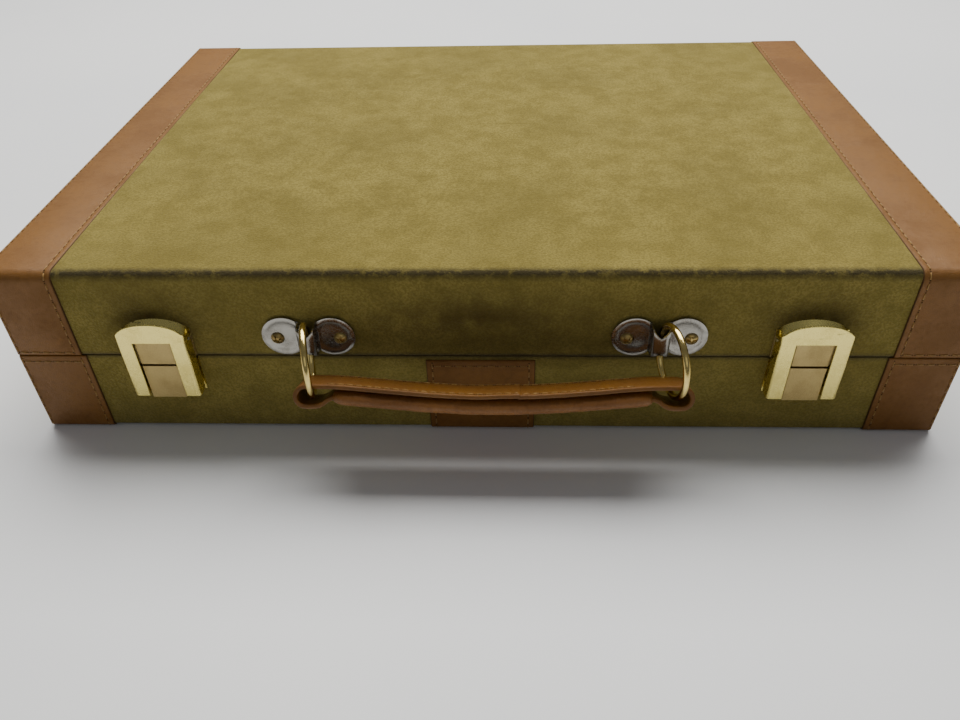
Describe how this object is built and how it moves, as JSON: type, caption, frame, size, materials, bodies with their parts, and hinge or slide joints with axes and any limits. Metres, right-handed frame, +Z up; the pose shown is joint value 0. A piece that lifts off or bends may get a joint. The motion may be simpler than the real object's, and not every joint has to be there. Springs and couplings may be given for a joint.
{
  "type": "type case",
  "caption": "Hard-sided carrying case with suede and leather covering, hinged lid, hasp latches, ring-hung padded handle and a divided wooden tray for type.",
  "frame": {"origin": "middle of the underside of the closed case, on the centre leather band", "axes": "+X along the front to the right as seen from the front, -Y out of the latched front, +Z up through the lid"},
  "size_m": [0.457, 0.3675, 0.0948],
  "materials": {
    "plywood": "bare plywood",
    "suede": "worn olive suede",
    "lining_cloth": "plain woven cloth",
    "leather": "oiled tan leather",
    "handle_leather": "glossy golden tan leather",
    "brass": "polished, scratched",
    "dull_brass": "brushed",
    "nickel": "polished nickel plate",
    "steel": "drawn wire",
    "tray_wood": "oiled hardwood"
  },
  "bodies": {
    "base": {"base_bottom_board": "plywood", "base_front_board": "plywood", "base_back_board": "plywood", "base_left_board": "plywood", "base_right_board": "plywood", "base_cover": "suede", "base_lining": "lining_cloth", "base_band_left": "leather", "base_band_right": "leather", "base_band_centre": "leather", "base_hinge_leaf_left": "brass", "base_hinge_leaf_right": "brass", "hinge_pin_left": "steel", "hinge_pin_right": "steel", "latch_base_left": "brass", "latch_base_right": "brass", "tab_spring_left": "steel", "tab_spring_right": "steel", "tray_floor": "tray_wood", "tray_front_wall": "tray_wood", "tray_back_wall": "tray_wood", "tray_left_wall": "tray_wood", "tray_right_wall": "tray_wood", "tray_long_divider_1": "tray_wood", "tray_long_divider_2": "tray_wood", "tray_long_divider_3": "tray_wood", "tray_cross_divider_1": "tray_wood", "tray_cross_divider_2": "tray_wood", "tray_cross_divider_3": "tray_wood", "tray_cross_divider_4": "tray_wood"},
    "lid": {"lid_top_board": "plywood", "lid_front_board": "plywood", "lid_back_board": "plywood", "lid_left_board": "plywood", "lid_right_board": "plywood", "lid_cover": "suede", "lid_lining": "lining_cloth", "lid_band_left": "leather", "lid_band_right": "leather", "lid_hinge_leaf_left": "brass", "lid_hinge_leaf_right": "brass", "bracket_left": "nickel", "bracket_right": "nickel", "bracket_screw_1": "brass", "bracket_screw_2": "brass", "bracket_screw_3": "brass", "bracket_screw_4": "brass", "latch_housing_left": "dull_brass", "latch_housing_right": "dull_brass", "hasp_pin_left": "steel", "hasp_pin_right": "steel"},
    "hasp_left": {"hasp_left": "brass"},
    "hasp_right": {"hasp_right": "brass"},
    "thumb_tab_left": {"thumb_tab_left": "dull_brass"},
    "thumb_tab_right": {"thumb_tab_right": "dull_brass"},
    "ring_left": {"ring_left": "brass"},
    "ring_right": {"ring_right": "brass"},
    "handle": {"handle_strap": "handle_leather", "handle_grip": "handle_leather"}
  },
  "joints": [
    {"name": "lid_hinge", "type": "hinge", "parent": "base", "child": "lid", "pos_m": [0, 0.1654, 0.0474], "axis": [-1, 0, 0], "range_deg": [0, 180]},
    {"name": "hasp_left_swing", "type": "hinge", "parent": "lid", "child": "hasp_left", "pos_m": [-0.154, -0.167, 0.0605], "axis": [-1, 0, 0], "range_deg": [0, 38]},
    {"name": "hasp_right_swing", "type": "hinge", "parent": "lid", "child": "hasp_right", "pos_m": [0.154, -0.167, 0.0605], "axis": [-1, 0, 0], "range_deg": [0, 38]},
    {"name": "thumb_tab_left_slide", "type": "slide", "parent": "base", "child": "thumb_tab_left", "axis": [0, 0, -1], "range_m": [0, 0.003], "stiffness_N_per_m": 300, "springref_m": -0.001, "deforming": ["tab_spring_left"]},
    {"name": "thumb_tab_right_slide", "type": "slide", "parent": "base", "child": "thumb_tab_right", "axis": [0, 0, -1], "range_m": [0, 0.003], "stiffness_N_per_m": 300, "springref_m": -0.001, "deforming": ["tab_spring_right"]},
    {"name": "ring_left_turn", "type": "hinge", "parent": "lid", "child": "ring_left", "pos_m": [-0.07735, -0.1821, 0.0595], "axis": [0.9781, 0.2079, 0], "continuous": true},
    {"name": "ring_right_turn", "type": "hinge", "parent": "lid", "child": "ring_right", "pos_m": [0.08765, -0.1821, 0.0595], "axis": [0.9781, 0.2079, 0], "continuous": true},
    {"name": "handle_swing", "type": "hinge", "parent": "lid", "child": "handle", "pos_m": [0.0068, -0.1821, 0.0595], "axis": [-1, 0, 0], "range_deg": [-18, 150]}
  ]
}
